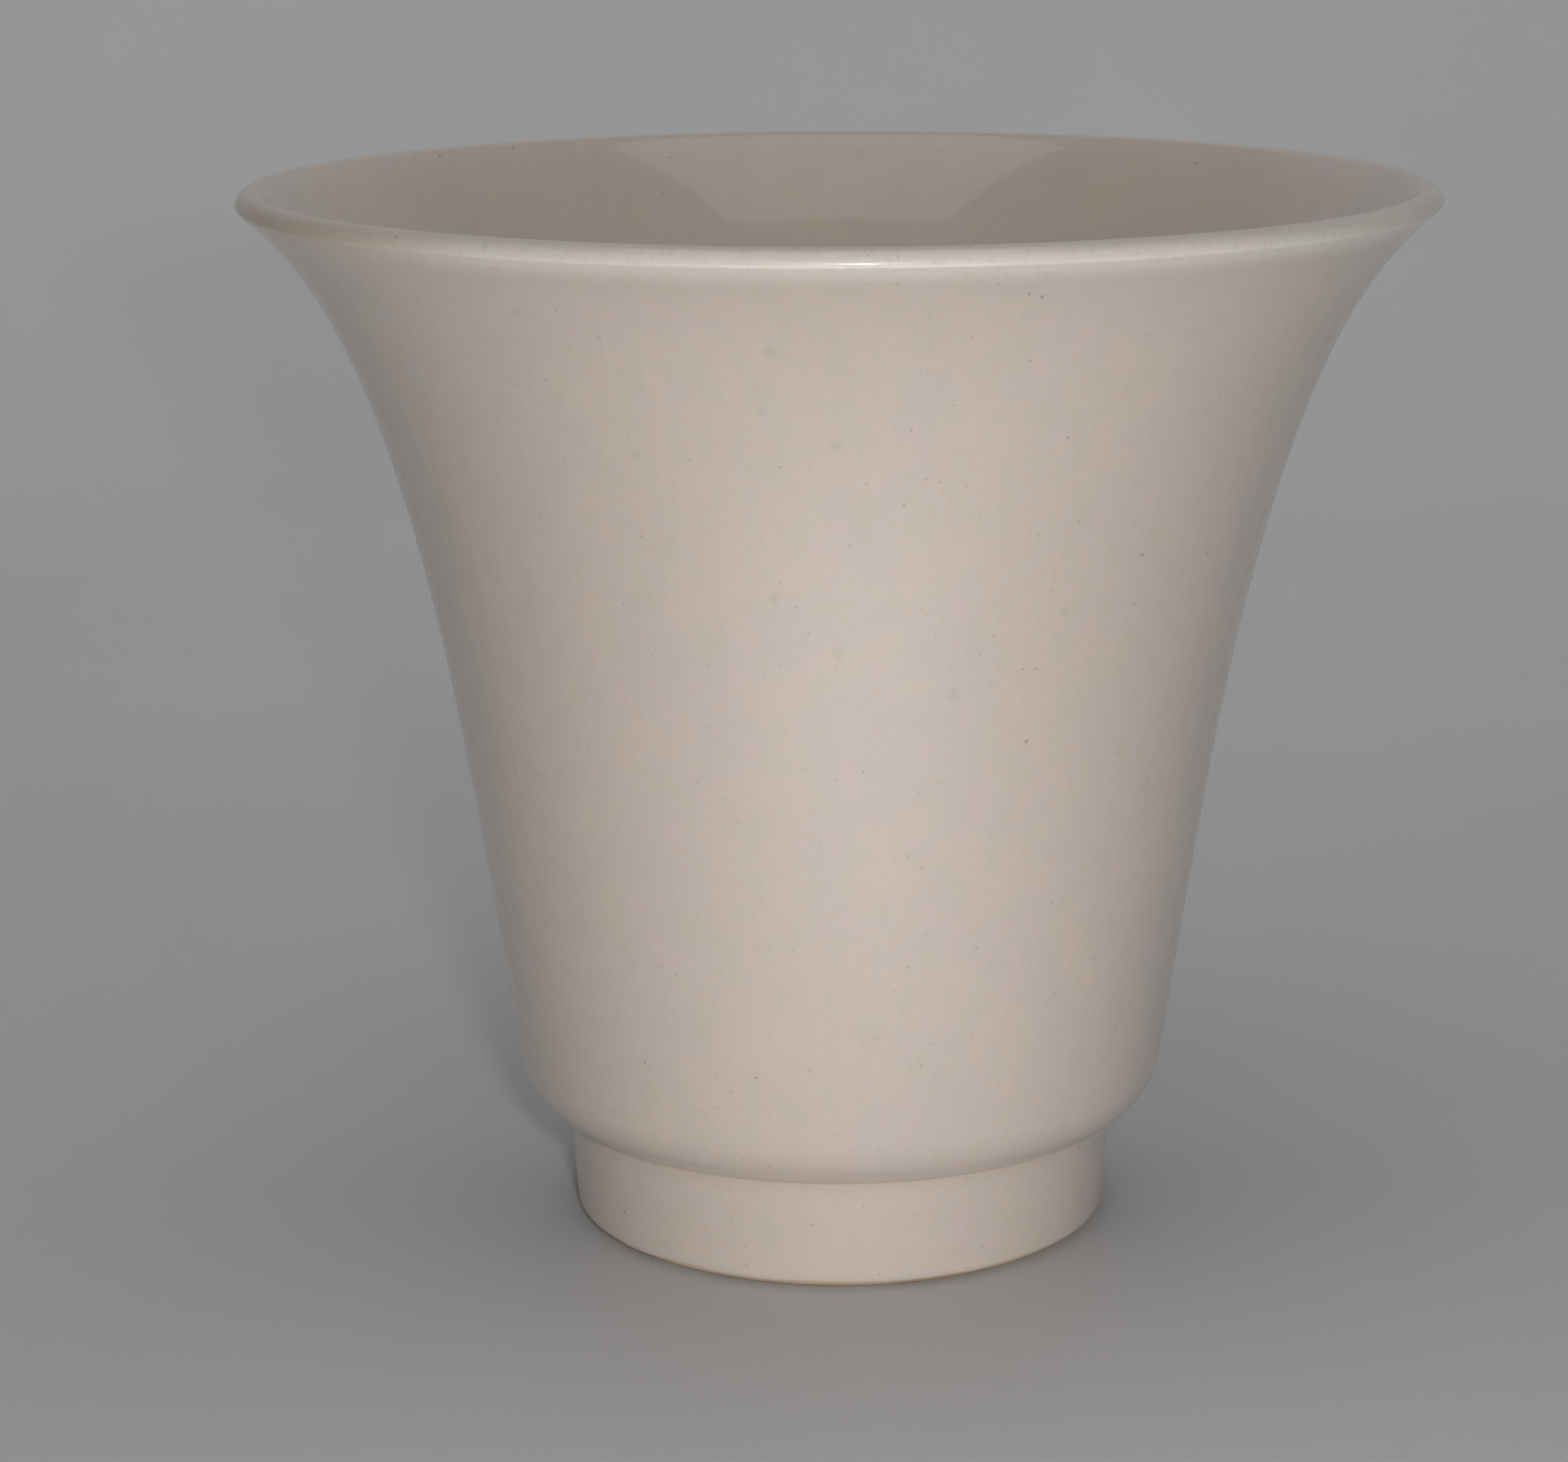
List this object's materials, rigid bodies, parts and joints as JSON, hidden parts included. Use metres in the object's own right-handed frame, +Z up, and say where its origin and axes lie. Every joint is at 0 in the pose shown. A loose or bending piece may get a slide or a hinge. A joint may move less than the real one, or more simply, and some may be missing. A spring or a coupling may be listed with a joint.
{
  "type": "flared footed vase",
  "caption": "Open trumpet-shaped ceramic vase with a rounded lip, a soft shoulder above a narrow ledge, and a low hollow foot ring that it stands on.",
  "frame": {"origin": "centre of the foot ring, on the surface that the vase stands on", "axes": "+Z up along the vase's axis, out of its mouth; every direction across it is the same, so +X and +Y are any two at right angles"},
  "size_m": [0.203, 0.203, 0.1815],
  "materials": {
    "fired_clay": "matte, bare where the foot stands",
    "satin_glaze": "satin oatmeal with fine brown specks"
  },
  "bodies": {
    "root": {"clay_body": "fired_clay", "outside_glaze": "satin_glaze", "inside_glaze": "satin_glaze", "foot_well_glaze": "satin_glaze"}
  },
  "joints": []
}
